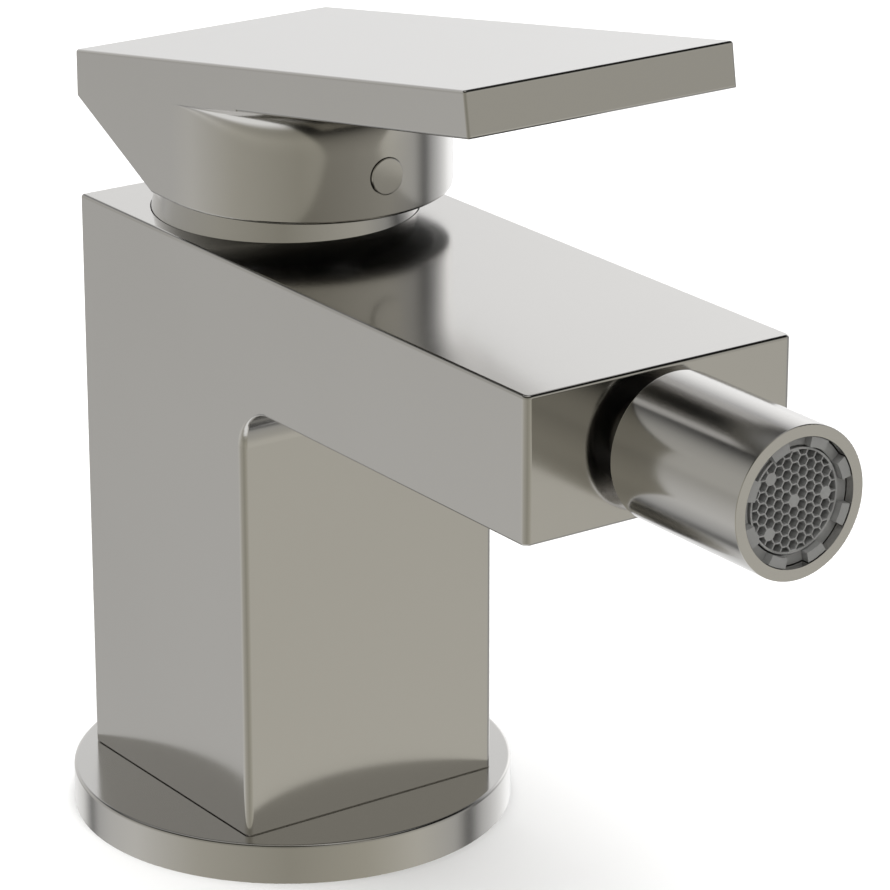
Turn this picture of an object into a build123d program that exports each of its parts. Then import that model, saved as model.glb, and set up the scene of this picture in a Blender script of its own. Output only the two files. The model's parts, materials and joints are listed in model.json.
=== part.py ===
from build123d import *
from math import cos, radians, sin, sqrt, tan
from OCP.BRepFilletAPI import BRepFilletAPI_MakeFillet
from OCP.gp import gp_Pnt2d
from OCP.TColgp import TColgp_Array1OfPnt2d
import os

# Single-lever bidet mixer with a swivel nozzle. Millimetres, +Z up, spout towards -Y.
# The origin is the fixing stud's axis in the deck plane, at the middle of the base ring.

# Fits and cuts
overrun = 1.0
running_gap = 0.05
slip_gap = 0.1
push_gap = 0.2
free_gap = 0.3

# Base ring and its seal
ring_radius = 30.0
ring_height = 5.5
ring_edge = 0.4
seal_margin = 2.0
seal_width = 6.0
seal_thickness = 1.5

# Body: a square column with a flat spout, cast in one piece
column_width = 39.6
column_depth = 38.9
body_top = 84.5
spout_reach = 80.65
spout_height = 18.65
inner_corner_radius = 6.0
column_edge = 0.9
body_edge = 0.45
spigot_radius = 15.8
joint_line_height = 0.15
joint_line_depth = 0.3

# Foot: stud thread in the middle, two inlet threads behind it
stud_radius = 3.4
stud_depth = 16.0
inlet_radius = 4.46
inlet_depth = 12.0
inlet_apart = 15.0
inlet_back = 6.0
riser_radius = 3.6

# Hot and cold chambers of the casting
chamber_floor = 20.0
chamber_height = 38.0
chamber_wall = 4.0
chamber_web = 6.0
chamber_round = 3.0

# Cartridge bore, measured down from the body's top
bore_radius = 14.6
bore_depth = 20.5
ledge_depth = 7.5
thread_radius = 15.6
cap_radius = 17.7
cap_recess_gap = 0.12
cap_recess_depth = 1.6

# Mixed water passage and the outlet thread in the spout's face
passage_width = 22.0
passage_floor = 3.0
passage_height = 6.0
passage_round = 1.5
passage_end = 9.0
outlet_radius = 5.2
outlet_depth = 13.0

# Cartridge: base, gasket and the pair of ceramic discs
port_radius = 2.7
port_apart = 11.0
port_forward = 3.0
outlet_port_back = 6.0
base_flange = 3.0
base_height = 4.5
notch_width = 9.0
notch_height = 2.2
port_seal_radius = 4.2
port_seal_height = 1.2
gasket_thickness = 0.7
fixed_disc_thickness = 2.7
moving_disc_thickness = 2.6
moving_disc_radius = 8.6
disc_pocket_radius = 7.4
disc_pocket_front = 2.4
disc_pocket_depth = 1.5

# Cartridge: housing
housing_radius = 13.2
housing_bore = 11.2
housing_top = 2.1
flange_radius = 15.3
flange_thickness = 1.8
shoulder_radius = 12.3
roof_thickness = 1.2
neck_radius = 6.8
neck_rise = 5.9
neck_top_round = 0.4
o_ring_drop = 1.0
o_ring_sides = 8

# Cartridge: stem, its pivot, and what it drives
pivot_rise = 4.7
stem_lean = 11.0
arm_length = 12.0
ball_tip_radius = 1.8
arm_radius = 1.4
hub_radius = 3.0
hub_width = 4.0
stem_square = 7.0
square_start = 2.45
square_end = 10.2
square_chamfer = 0.6
pin_radius = 1.0
pin_short = 0.3
rotor_plate = 1.8
rotor_tube_radius = 5.6
rotor_top_over = 0.2
slot_width = 4.4
slot_length = 8.4
rail_width = 2.0
rail_length = 12.0
carriage_foot = 1.3
carriage_half_width = 6.6
carriage_floor = 0.6
tip_gap = 0.15

# Cartridge: nut and the cap that shows under the lever
nut_top = 1.7
nut_bore = 12.6
nut_slot_width = 4.0
nut_slot_depth = 2.0
nut_slots = 4
cap_rise = 3.6
cap_thickness = 1.5
cap_slant = 12.0
cap_edge = 0.3

# Lever: a sloping plate over a round-fronted skirt
lever_width = 39.6
lever_back = 19.65
lever_front = 68.25
lever_rise = 19.65
lever_pitch = 9.05
lever_thickness = 5.75
lever_back_height = 6.3
lever_edge = 0.4
skirt_forward = 3.9
skirt_gap = 3.86
skirt_pitch = 1.46
slant_start = 1.45
blend_radius = 6.5
blend_least = 0.05
blend_falloff = 6
blend_steps = 16
blend_side_share = 0.78
pocket_wall = 2.6
pocket_back = 9.0
boss_radius = 6.4
boss_start = 3.0
screw_web = 7.2
screw_web_drop = 2.6

# Lever screw and index plug
screw_rise = 9.4
screw_radius = 2.0
screw_length = 6.0
screw_key = 1.0
screw_key_depth = 2.5
screw_point = 0.8
plug_radius = 2.4
plug_head = 1.2
plug_proud = 0.25
plug_shank_radius = 1.7
plug_shank = 3.5
plug_edge = 0.15

# Nozzle: ball fitting
nozzle_drop = 9.4
ball_ahead = 7.75
ball_radius = 7.0
ball_front = 5.7
fitting_neck = 3.9
fitting_flange_radius = 6.5
fitting_flange = 1.2
fitting_thread = 11.0
fitting_bore = 2.9
fitting_key = 3.3
fitting_key_depth = 4.0
o_ring_section = 1.4

# Nozzle: sleeve and what holds the ball in it
sleeve_radius = 9.4
sleeve_bore = 7.95
sleeve_back = 5.4
sleeve_front = 17.95
sleeve_mouth = 5.8
sleeve_edge = 0.3
sleeve_rim_edge = 0.1
ball_seal_width = 2.0
seat_start = 2.45
seat_end = 5.5

# Aerator
washer_thickness = 1.2
washer_width = 2.3
aerator_recess = 0.15
aerator_bore = 6.6
aerator_ledge = 0.6
aerator_inner = 4.8
teeth = 8
tooth_share = 0.44
tooth_depth = 1.15
comb_recess = 0.85
comb_thickness = 2.5
comb_rim = 0.25
cell_pitch = 1.34
cell_wall = 0.16
jet_plate_start = 2.6
jet_plate_thickness = 1.5
jet_count = 12
jet_circle = 4.2
jet_radius = 0.6
screen_thickness = 0.8
screen_rise = 1.4
screen_hole = 0.7
screen_rings = 2
screen_pitch = 2.2

# Heights and places that follow from the sizes above
seal_radius = ring_radius - seal_margin
half_width = column_width / 2
half_depth = column_depth / 2
spout_under = body_top - spout_height
seat_z = body_top - bore_depth
ledge_z = body_top - ledge_depth
recess_z = body_top - cap_recess_depth
gasket_z = seat_z + base_height
fixed_disc_z = gasket_z + gasket_thickness
moving_disc_z = fixed_disc_z + fixed_disc_thickness
carriage_z = moving_disc_z + moving_disc_thickness
flange_top = ledge_z + flange_thickness
pivot_z = body_top + pivot_rise
roof_top = body_top - housing_top
roof_z = roof_top - roof_thickness
rotor_z = roof_z - push_gap - rotor_plate
neck_top = body_top + neck_rise
closed_shift = arm_length * sin(radians(stem_lean))
nozzle_z = body_top - nozzle_drop
nozzle_at = Pos(0, -spout_reach - ball_ahead, nozzle_z) * Rot(90, 0, 0)
stem_at = Pos(0, 0, pivot_z) * Rot(stem_lean, 0, 0)
skirt_radius = lever_width / 2
skirt_front = -skirt_forward - skirt_radius
lever_top = body_top + lever_rise
screw_z = body_top + screw_rise


def rod(radius, low, high, x=0, y=0):
    """An upright cylinder between two heights."""
    return Pos(x, y, low) * Cylinder(radius, high - low, align=(Align.CENTER, Align.CENTER, Align.MIN))


def tube(outer, inner, low, high, x=0, y=0):
    """An upright ring between two heights."""
    return rod(outer, low, high, x, y) - rod(inner, low - overrun, high + overrun, x, y)


def block(x0, x1, y0, y1, z0, z1):
    """A box between its faces."""
    middle = Pos((x0 + x1) / 2, (y0 + y1) / 2, (z0 + z1) / 2)
    return middle * Box(x1 - x0, y1 - y0, z1 - z0)


def turned_points(points):
    """A solid of revolution about Z, from (radius, height) corners."""
    return revolve(make_face(Plane.XZ * Polyline(*points, close=True)), Axis.Z)


def side_prism(points, width):
    """A prism across X, from (y, z) corners."""
    return extrude(make_face(Plane.YZ * Polyline(*points, close=True)), width / 2, both=True)


def ball_zone(radius, low, high):
    """A ball about the origin, cut to the heights between low and high."""
    return Sphere(radius) & rod(radius + overrun, low, high)


def o_ring(middle_radius, section, z):
    """A rubber ring, pressed flat where it touches its groove."""
    profile = RegularPolygon(section / 2, o_ring_sides, major_radius=False, rotation=180 / o_ring_sides)
    return revolve(Plane.XZ * Pos(middle_radius, z) * profile, Axis.Z)


def rounded(shape, edges, radii_of):
    """Rounds edges and those that run on from them, with the radii at even steps that radii_of gives for each."""
    maker = BRepFilletAPI_MakeFillet(shape.solid().wrapped)
    for edge in edges:
        if not maker.Contour(edge.wrapped):
            maker.Add(edge.wrapped)
    for chain in range(1, maker.NbContours() + 1):
        for place in range(1, maker.NbEdges(chain) + 1):
            radii = radii_of(Edge(maker.Edge(chain, place)))
            law = TColgp_Array1OfPnt2d(1, len(radii))
            for step, radius in enumerate(radii):
                law.SetValue(step + 1, gp_Pnt2d(step / max(1, len(radii) - 1), radius))
            maker.SetRadius(radii[0] if len(radii) == 1 else law, chain, place)
    maker.Build()
    return Solid(maker.Shape())


def save(shape, node):
    """Writes one node."""
    export_step(shape, "parts/" + node + ".step")


# Base ring, with a groove under it for the seal
def base_ring():
    ring = tube(ring_radius, spigot_radius + push_gap, 0, ring_height)
    outer_edges = ring.edges().filter_by(GeomType.CIRCLE).sort_by(lambda e: e.radius)[-2:]
    ring = fillet(outer_edges.sort_by(Axis.Z)[-1], ring_edge)
    groove = tube(seal_radius, seal_radius - seal_width, -overrun, seal_thickness)
    return ring - groove


def base_seal():
    return tube(seal_radius - push_gap, seal_radius - seal_width + push_gap, 0, seal_thickness)


# Body
def body():
    back, front, face = half_depth, -half_depth, -spout_reach
    outline = [(back, ring_height), (back, body_top), (face, body_top), (face, spout_under),
               (front, spout_under), (front, ring_height)]
    solid = side_prism(outline, column_width)
    corner = solid.edges().filter_by(Axis.X).sort_by_distance((0, front, spout_under))[0]
    solid = fillet(corner, inner_corner_radius)
    above_foot = solid.edges().filter_by(lambda e: e.bounding_box().max.Z > ring_height + ring_edge)
    across = above_foot.filter_by(lambda e: e.bounding_box().size.X < column_width - body_edge)
    ends = [solid.edges().filter_by(Axis.X).sort_by_distance((0, y, z))[0]
            for y, z in ((back, body_top), (face, body_top), (face, spout_under))]
    solid = rounded(solid, list(across) + ends, body_edge_radii) - joint_line()
    solid += rod(spigot_radius, 0, ring_height + overrun)
    return solid - cartridge_bore() - waterways() - foot_threads()


def body_edge_radii(edge):
    """The column's front corners are rounder than the other edges, and narrow along the inner corner."""
    start, end = edge.position_at(0), edge.position_at(1)
    if edge.geom_type == GeomType.CIRCLE:
        radii = (column_edge, body_edge, body_edge)
        return radii if start.Z < end.Z else radii[::-1]
    is_front_corner = edge.length > spout_height and start.Y < 0 and abs(start.Y - end.Y) < body_edge
    return (column_edge,) if is_front_corner and edge.bounding_box().size.Z > body_edge else (body_edge,)


def joint_line():
    """The fine shadow line between the column and the base ring."""
    low, high = ring_height - overrun, ring_height + joint_line_height
    half_x, half_y = half_width + overrun, half_depth + overrun
    inner_x, inner_y = half_width - joint_line_depth, half_depth - joint_line_depth
    return block(-half_x, half_x, -half_y, half_y, low, high) - block(-inner_x, inner_x, -inner_y, inner_y, low, high)


def cartridge_bore():
    bore = rod(bore_radius, seat_z, ledge_z + overrun)
    thread = rod(thread_radius, ledge_z, body_top)
    recess = rod(cap_radius + cap_recess_gap, recess_z, body_top + overrun)
    return bore + thread + recess


def waterways():
    """Risers, chambers, ports, the spout's passage and the outlet thread."""
    cuts = []
    for side in (-1, 1):
        inner, outer = side * chamber_web / 2, side * (half_width - chamber_wall)
        reach = half_depth - chamber_wall
        room = block(min(inner, outer), max(inner, outer), -reach, reach,
                     chamber_floor, chamber_floor + chamber_height)
        cuts.append(fillet(room.edges(), chamber_round))
        cuts.append(rod(riser_radius, 0, chamber_floor + chamber_round,
                        side * inlet_apart / 2, inlet_back))
        cuts.append(rod(port_radius, chamber_floor + chamber_height - chamber_round, seat_z + overrun,
                        side * port_apart / 2, -port_forward))
    floor = spout_under + passage_floor
    passage = block(-passage_width / 2, passage_width / 2, -spout_reach + passage_end, -bore_radius / 2,
                    floor, floor + passage_height)
    passage = fillet(passage.edges().filter_by(Axis.Y), passage_round)
    clear_of_seat = rod(bore_radius - overrun, floor - overrun, floor + passage_height + overrun)
    cuts.append(passage - clear_of_seat)
    cuts.append(nozzle_at * rod(outlet_radius, -ball_ahead - outlet_depth, overrun - ball_ahead))
    cuts.append(nozzle_at * rod(fitting_flange_radius + slip_gap,
                                -ball_ahead - fitting_flange - o_ring_section, overrun - ball_ahead))
    return cuts


def foot_threads():
    cuts = [rod(stud_radius, -overrun, stud_depth)]
    for side in (-1, 1):
        cuts.append(rod(inlet_radius, -overrun, inlet_depth, side * inlet_apart / 2, inlet_back))
    return cuts


# Cartridge
def port_places(back_port=True):
    places = [(side * port_apart / 2, -port_forward) for side in (-1, 1)]
    return places + [(0, outlet_port_back)] if back_port else places


def with_ports(plate, low, high, radius):
    return plate - [rod(radius, low - overrun, high + overrun, x, y) for x, y in port_places()]


def cartridge_base():
    base = rod(housing_radius, seat_z, seat_z + base_flange)
    base += rod(housing_bore - slip_gap, seat_z, gasket_z)
    base -= [rod(port_radius, seat_z - overrun, gasket_z + overrun, x, y) for x, y in port_places(False)]
    base -= [rod(port_seal_radius, seat_z - overrun, seat_z + port_seal_height, x, y)
             for x, y in port_places(False)]
    notch_low = seat_z + base_flange - notch_height
    base -= rod(port_radius, notch_low, gasket_z + overrun, 0, outlet_port_back)
    return base - block(-notch_width / 2, notch_width / 2, outlet_port_back, housing_radius + overrun,
                        notch_low, seat_z + base_flange)


def inlet_seals():
    rings = [tube(port_seal_radius - slip_gap, port_radius + slip_gap, seat_z, seat_z + port_seal_height, x, y)
             for x, y in port_places(False)]
    return Compound(rings)


def disc_gasket():
    plate = rod(housing_bore - push_gap, gasket_z, fixed_disc_z)
    return with_ports(plate, gasket_z, fixed_disc_z, port_radius + slip_gap)


def fixed_disc():
    plate = rod(housing_bore - push_gap, fixed_disc_z, moving_disc_z)
    return with_ports(plate, fixed_disc_z, moving_disc_z, port_radius)


def moving_disc():
    disc = rod(moving_disc_radius, moving_disc_z, carriage_z)
    pocket = rod(disc_pocket_radius, moving_disc_z - overrun, moving_disc_z + disc_pocket_depth)
    pocket &= block(-moving_disc_radius, moving_disc_radius, -disc_pocket_front, moving_disc_radius,
                    moving_disc_z - overrun, carriage_z)
    return Pos(0, closed_shift, 0) * (disc - pocket)


def disc_carriage():
    """Rides on the moving disc between the rotor's rails, with a socket for the stem's tip."""
    top = rotor_z - push_gap
    foot = rod(moving_disc_radius, carriage_z, carriage_z + carriage_foot)
    upper = rod(moving_disc_radius, carriage_z, top)
    upper &= block(-carriage_half_width, carriage_half_width, -moving_disc_radius, moving_disc_radius,
                   carriage_z, top)
    socket = rod(ball_tip_radius + tip_gap, carriage_z + carriage_floor, top + overrun)
    return Pos(0, closed_shift, 0) * (foot + upper - socket)


def cartridge_rotor():
    """Turns in the housing's neck, carries the stem's pin and drives the discs round."""
    rotor = rod(housing_bore - push_gap, rotor_z, rotor_z + rotor_plate)
    rotor += rod(rotor_tube_radius, rotor_z, neck_top + rotor_top_over)
    rail_low = carriage_z + carriage_foot + push_gap
    for side in (-1, 1):
        inner = carriage_half_width + slip_gap
        rotor += block(min(side * inner, side * (inner + rail_width)), max(side * inner, side * (inner + rail_width)),
                       -rail_length / 2, rail_length / 2, rail_low, rotor_z + overrun)
    rotor -= block(-slot_width / 2, slot_width / 2, -slot_length / 2, slot_length / 2,
                   rotor_z - overrun, neck_top + overrun)
    return rotor - Pos(0, 0, pivot_z) * Rot(0, 90, 0) * Cylinder(pin_radius + slip_gap / 2, 2 * rotor_tube_radius)


def pivot_pin():
    length = 2 * (sqrt(rotor_tube_radius**2 - pin_radius**2) - pin_short)
    return Pos(0, 0, pivot_z) * Rot(0, 90, 0) * Cylinder(pin_radius, length)


def stem():
    """Square above for the lever, an arm and a ball tip below the pin."""
    square = rod(stem_square, square_start, square_end)
    half = stem_square / 2
    square &= block(-half, half, -half, half, square_start, square_end)
    square = chamfer(square.faces().sort_by(Axis.Z)[-1].edges(), square_chamfer)
    shape = square + Rot(0, 90, 0) * Cylinder(hub_radius, hub_width)
    shape += rod(arm_radius, -arm_length, 0)
    shape += Pos(0, 0, -arm_length) * Sphere(ball_tip_radius)
    shape -= Rot(0, 90, 0) * Cylinder(pin_radius + running_gap, hub_width + overrun)
    return stem_at * shape


def cartridge_housing():
    low = seat_z + base_flange
    outline = [(housing_bore, low), (housing_radius, low), (housing_radius, ledge_z), (flange_radius, ledge_z),
               (flange_radius, flange_top), (shoulder_radius, flange_top), (shoulder_radius, roof_top),
               (neck_radius, roof_top), (neck_radius, neck_top), (rotor_tube_radius + running_gap, neck_top),
               (rotor_tube_radius + running_gap, roof_z), (housing_bore, roof_z)]
    return turned_points(outline)


def cartridge_o_ring():
    gap = bore_radius - housing_radius
    return o_ring(housing_radius + gap / 2, gap - slip_gap, ledge_z - o_ring_drop)


def cartridge_nut():
    """Threaded ring that holds the cartridge down, with slots for a pin key."""
    top = body_top + nut_top
    nut = tube(thread_radius - slip_gap, nut_bore, flange_top, top)
    for turn in range(nut_slots):
        nut -= Rot(0, 0, turn * 360 / nut_slots) * block(nut_bore - overrun, thread_radius + overrun,
                                                        -nut_slot_width / 2, nut_slot_width / 2,
                                                        top - nut_slot_depth, top + overrun)
    return nut


def cartridge_cap():
    """The polished collar between the body and the lever."""
    top = body_top + cap_rise
    cap = turned_points([(0, recess_z), (cap_radius, recess_z), (cap_radius, body_top),
                         (cap_radius - cap_rise * tan(radians(cap_slant)), top), (0, top)])
    cap = fillet(cap.edges().sort_by(Axis.Z)[-1], cap_edge)
    cap -= rod(thread_radius + slip_gap, recess_z - overrun, top - cap_thickness)
    return cap - rod(neck_radius + free_gap, recess_z, top + overrun)


# Lever
def plate_under(y):
    """Height of the lever plate's underside."""
    slope = radians(lever_pitch)
    return lever_top - lever_thickness / cos(slope) + (lever_back - y) * tan(slope)


def skirt_under(y):
    """Height of the skirt's lower rim."""
    return body_top + skirt_gap + (y - skirt_front) * tan(radians(skirt_pitch))


def lever():
    slope = radians(lever_pitch)
    front_top = (-lever_front, lever_top + (lever_back + lever_front) * tan(slope))
    front_under = (front_top[0] - lever_thickness * sin(slope), front_top[1] - lever_thickness * cos(slope))
    ahead = skirt_front - 2 * blend_radius
    outline = [(lever_back, lever_top), front_top, front_under, (ahead, plate_under(ahead)),
               (ahead, skirt_under(ahead)), (slant_start, skirt_under(slant_start)),
               (lever_back, lever_top - lever_back_height)]
    shape = side_prism(outline, lever_width) - beside_the_skirt()
    shape = fillet(lever_outer_edges(shape), lever_edge) - underside_rounding(front_under)
    return shape - lever_pocket() - lever_socket() - screw_hole()


def beside_the_skirt():
    """What the skirt's round front leaves free under the plate, with the blend at the plate."""
    side = lever_width
    ahead = -2 * lever_front
    low = body_top
    room = side_prism([(-skirt_forward, low), (ahead, low), (ahead, plate_under(ahead)),
                       (-skirt_forward, plate_under(-skirt_forward))], 2 * side)
    room -= rod(skirt_radius, low - overrun, lever_top + lever_front, 0, -skirt_forward)
    rim = room.edges().filter_by(lambda e: e.geom_type not in (GeomType.LINE, GeomType.CIRCLE))
    return rounded(room, rim, blend_radii)


def blend_radii(rim):
    """The blend's radii at even steps along the skirt's rim."""
    return [blend_reach(abs(rim.position_at(step / blend_steps).X) / skirt_radius) for step in range(blend_steps + 1)]


def blend_reach(side_share):
    """The blend's radius: full at the skirt's front and almost nothing at the plate's sides."""
    return max(blend_least, blend_radius * (1 - side_share**blend_falloff))


def lever_outer_edges(shape):
    """All sharp edges but the plate's long lower ones, which end in the blend."""
    blend = shape.faces().filter_by(lambda f: f.geom_type not in (GeomType.PLANE, GeomType.CYLINDER)).edges()
    seams = shape.edges().filter_by(lambda e: abs(e.center().Y + skirt_forward) < lever_edge)
    lower = shape.faces().filter_by(GeomType.PLANE).sort_by_distance((0, -lever_front, body_top))[0].edges()
    left_out = list(blend) + list(seams) + [e for e in lower if e.bounding_box().size.X < lever_edge]
    return [edge for edge in shape.edges() if not any(edge.is_same(other) for other in left_out)]


def underside_rounding(front_under):
    """Rounds the plate's long lower edges as far as the blend."""
    slope = radians(lever_pitch)
    blend_start = -skirt_forward - (skirt_radius + blend_reach(blend_side_share)) * sqrt(1 - blend_side_share**2)
    along = Plane(origin=(0, *front_under), x_dir=(1, 0, 0), z_dir=(0, cos(slope), -sin(slope)))
    corner = Pos(skirt_radius, 0) * Rectangle(2 * lever_edge, 2 * lever_edge)
    corner -= Pos(skirt_radius - lever_edge, -lever_edge) * Circle(lever_edge)
    length = (blend_start - front_under[0]) / cos(slope)
    strip = extrude(along * corner, length) + extrude(along * corner, -lever_edge)
    return strip + mirror(strip, Plane.YZ)


def lever_pocket():
    """The hollow under the lever, round the boss that takes the stem."""
    inner = skirt_radius - pocket_wall
    low, high = body_top, lever_top + lever_front
    plan = rod(inner, low, high, 0, -skirt_forward)
    plan += block(-inner, inner, -skirt_forward, pocket_back, low, high)
    under = side_prism([(lever_back, low), (-lever_front, low), (-lever_front, plate_under(-lever_front)),
                        (lever_back, plate_under(lever_back))], lever_width)
    boss = stem_at * rod(boss_radius, boss_start, high)
    web = block(-screw_web / 2, screw_web / 2, skirt_front, 0, screw_z - screw_web_drop, high)
    return (plan & under) - boss - web


def lever_socket():
    half = stem_square / 2 + slip_gap
    return stem_at * block(-half, half, -half, half, boss_start - overrun, square_end + free_gap)


def screw_hole():
    along = Pos(0, 0, screw_z) * Rot(90, 0, 0)
    hole = along * rod(screw_radius + running_gap, 0, -skirt_front + overrun)
    head = along * rod(plug_radius + slip_gap, -skirt_front - plug_head, -skirt_front + overrun)
    return hole + head


def lever_screw():
    """Grub screw against the stem's front face."""
    face = (screw_z + screw_radius - pivot_z) * tan(radians(stem_lean)) + stem_square / 2 / cos(radians(stem_lean))
    tip = face + running_gap
    screw = rod(screw_radius, tip + screw_point, tip + screw_length)
    screw += turned_points([(0, tip), (screw_radius - screw_point, tip), (screw_radius, tip + screw_point),
                            (0, tip + screw_point)])
    key = extrude(RegularPolygon(screw_key, 6, major_radius=False), screw_key_depth + overrun)
    screw -= Pos(0, 0, tip + screw_length - screw_key_depth) * key
    return Pos(0, 0, screw_z) * Rot(90, 0, 0) * screw


def index_plug():
    back = -skirt_front - plug_head
    head = rod(plug_radius, back, -skirt_front + plug_proud)
    head = fillet(head.edges().sort_by(Axis.Z)[-1], plug_edge)
    return Pos(0, 0, screw_z) * Rot(90, 0, 0) * (head + rod(plug_shank_radius, back - plug_shank, back))


# Nozzle pieces are drawn about the ball's centre, with Z along the nozzle
def ball_fitting():
    face = -ball_ahead
    back = face - fitting_flange
    shape = rod(outlet_radius - slip_gap, back - fitting_thread, back)
    shape += rod(fitting_flange_radius, back, face)
    shape += rod(fitting_neck, face, 0)
    shape += ball_zone(ball_radius, -ball_radius, ball_front)
    shape -= rod(fitting_bore, back - fitting_thread - overrun, ball_front + overrun)
    key = extrude(RegularPolygon(fitting_key, 6, major_radius=False), fitting_key_depth + overrun)
    return nozzle_at * (shape - Pos(0, 0, ball_front - fitting_key_depth) * key)


def fitting_o_ring():
    middle = (outlet_radius + fitting_flange_radius) / 2
    section = fitting_flange_radius - outlet_radius
    return nozzle_at * o_ring(middle, section, -ball_ahead - fitting_flange - o_ring_section / 2)


def ball_seal():
    ring = ball_zone(sleeve_bore - running_gap, -ball_seal_width / 2, ball_seal_width / 2)
    return nozzle_at * (ring - Sphere(ball_radius + running_gap))


def ball_seat():
    ring = rod(sleeve_bore - running_gap, seat_start, seat_end)
    return nozzle_at * (ring - Sphere(ball_radius + running_gap))


def nozzle_sleeve():
    shape = rod(sleeve_radius, -sleeve_back, sleeve_front)
    shape = fillet(shape.edges().sort_by(Axis.Z)[-1], sleeve_rim_edge)
    shape = fillet(shape.edges().sort_by(Axis.Z)[0], sleeve_edge)
    shape -= rod(sleeve_bore, -seat_start, sleeve_front + overrun)
    shape -= rod(sleeve_mouth, -sleeve_back - overrun, 0)
    return nozzle_at * (shape - Sphere(ball_radius + running_gap))


# Aerator
def aerator_seal():
    outer = sleeve_bore - push_gap
    return nozzle_at * tube(outer, outer - washer_width, seat_end, seat_end + washer_thickness)


def aerator_housing():
    """Screwed into the sleeve, with key slots round its rim."""
    back = seat_end + washer_thickness
    tip = sleeve_front - aerator_recess
    ledge = tip - comb_recess - comb_thickness
    shelf = back + jet_plate_start
    outer = sleeve_bore - slip_gap
    middle = aerator_bore - aerator_ledge
    shape = turned_points([(aerator_inner, back), (outer, back), (outer, tip), (aerator_bore, tip),
                           (aerator_bore, ledge), (middle, ledge), (middle, shelf), (aerator_inner, shelf)])
    half = 180 / teeth * (1 - tooth_share)
    reach = 2 * outer
    slot = extrude(make_face(Polyline((0, 0), (reach, -reach * tan(radians(half))),
                                      (reach, reach * tan(radians(half))), close=True)), tooth_depth + overrun)
    for turn in range(teeth):
        shape -= Pos(0, 0, tip - tooth_depth) * Rot(0, 0, turn * 360 / teeth) * slot
    return nozzle_at * shape


def comb_cells():
    """Centres of the open cells, by column and row from the middle."""
    column_step = cell_pitch * sqrt(3) / 2
    reach = int(aerator_bore / column_step) + 1
    closed = {(0, 0), (-3, 2), (4, 0), (-3, -3)}
    for column in range(-reach, reach + 1):
        shift = cell_pitch / 2 if column % 2 else 0
        for row in range(-reach, reach + 1):
            if (column, row) not in closed:
                yield column * column_step, row * cell_pitch + shift


def aerator_comb():
    """The honeycomb that straightens the jet."""
    outer = aerator_bore - push_gap
    front = sleeve_front - aerator_recess - comb_recess
    back = front - comb_thickness
    disc = rod(outer, back, front)
    open_circle = Circle(outer - comb_rim)
    flat = (cell_pitch - cell_wall) / 2
    smallest = cell_wall * cell_pitch
    cuts = []
    for x, y in comb_cells():
        if x**2 + y**2 > (outer + flat) ** 2:
            continue
        cell = Pos(x, y) * RegularPolygon(flat, 6, major_radius=False) & open_circle
        for face in cell.faces() if cell else []:
            if face.area > smallest:
                cuts.append(Pos(0, 0, back - overrun) * extrude(face, comb_thickness + 2 * overrun, dir=(0, 0, 1)))
    return nozzle_at * (disc - cuts)


def jet_plate():
    """Splits the water into jets behind the honeycomb."""
    back = seat_end + washer_thickness + jet_plate_start
    plate = rod(aerator_bore - aerator_ledge - push_gap, back, back + jet_plate_thickness)
    for turn in range(jet_count):
        plate -= Rot(0, 0, turn * 360 / jet_count) * rod(jet_radius, back - overrun,
                                                         back + jet_plate_thickness + overrun, jet_circle)
    return nozzle_at * plate


def inlet_screen():
    """A dished strainer in the aerator's back."""
    back = seat_end + washer_thickness
    rim = aerator_inner - push_gap
    top = back + screen_thickness
    dish = turned_points([(0, back + screen_rise), (rim / 2, back + screen_rise), (rim - screen_thickness, back),
                          (rim, back), (rim, top), (rim / 2 + screen_thickness / 2, top + screen_rise),
                          (0, top + screen_rise)])
    for ring in range(screen_rings):
        for turn in range(max(1, 6 * ring)):
            dish -= Rot(0, 0, turn * 60 / max(1, ring)) * rod(screen_hole, back - overrun,
                                                             top + screen_rise + overrun, ring * screen_pitch)
    return nozzle_at * dish


pieces = (base_ring, base_seal, body, cartridge_base, inlet_seals, disc_gasket, fixed_disc, moving_disc,
          disc_carriage, cartridge_rotor, pivot_pin, stem, cartridge_housing, cartridge_o_ring,
          cartridge_nut, cartridge_cap, lever, lever_screw, index_plug, ball_fitting, fitting_o_ring,
          ball_seal, ball_seat, nozzle_sleeve, aerator_seal, aerator_housing, aerator_comb, jet_plate,
          inlet_screen)

if __name__ == "__main__":
    os.makedirs("parts", exist_ok=True)
    for piece in pieces:
        save(piece(), piece.__name__)
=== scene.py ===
"""Looks of the single-lever bidet mixer: its metal, plastics, rubber and threads, and the studio round it."""

import json
import math
from types import SimpleNamespace

import bmesh
import bpy
from bpy.props import FloatProperty, FloatVectorProperty, IntProperty, PointerProperty
from bpy.types import NodeSocket, Operator, Panel, PropertyGroup
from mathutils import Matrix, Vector


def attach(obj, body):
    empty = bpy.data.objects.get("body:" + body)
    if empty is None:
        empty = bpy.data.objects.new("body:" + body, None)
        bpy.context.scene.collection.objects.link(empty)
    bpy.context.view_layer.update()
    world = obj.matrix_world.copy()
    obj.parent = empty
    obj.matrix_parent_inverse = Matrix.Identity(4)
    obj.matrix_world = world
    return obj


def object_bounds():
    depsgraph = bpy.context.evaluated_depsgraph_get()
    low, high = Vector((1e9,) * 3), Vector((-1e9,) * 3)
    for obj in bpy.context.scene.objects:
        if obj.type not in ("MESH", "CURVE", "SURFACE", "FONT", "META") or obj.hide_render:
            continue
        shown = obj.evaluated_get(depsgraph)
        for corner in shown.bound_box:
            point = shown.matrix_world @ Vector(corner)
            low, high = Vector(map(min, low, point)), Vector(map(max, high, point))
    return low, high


bl_info = {
    "name": "Bidet mixer looks",
    "version": (1, 0, 0),
    "blender": (4, 5, 0),
    "location": "View3D > Sidebar > Mixer",
    "description": "Finishes a single-lever bidet mixer and sets it in a plain studio",
    "category": "Object",
}

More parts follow.
